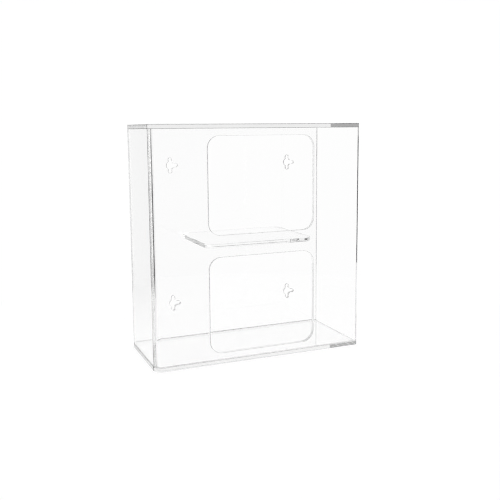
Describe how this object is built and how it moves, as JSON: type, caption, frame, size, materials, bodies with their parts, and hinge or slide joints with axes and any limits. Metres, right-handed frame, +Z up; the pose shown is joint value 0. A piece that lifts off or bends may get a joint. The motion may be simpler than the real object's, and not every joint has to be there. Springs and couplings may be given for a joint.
{
  "type": "disposable glove dispenser",
  "caption": "Clear wall-mounted dispenser for stacked glove boxes, loaded from an open side, with rounded front windows, a divider shelf and keyholes in its back.",
  "frame": {"origin": "middle of the underside of the bottom plate", "axes": "+X to the open loading side, +Y to the wall behind, +Z up"},
  "size_m": [0.263, 0.114, 0.28],
  "materials": {
    "clear_acrylic": "clear polished cast acrylic sheet"
  },
  "bodies": {
    "root": {"wrap_panel": "clear_acrylic", "top_plate": "clear_acrylic", "bottom_plate": "clear_acrylic", "divider_shelf": "clear_acrylic"}
  },
  "joints": []
}
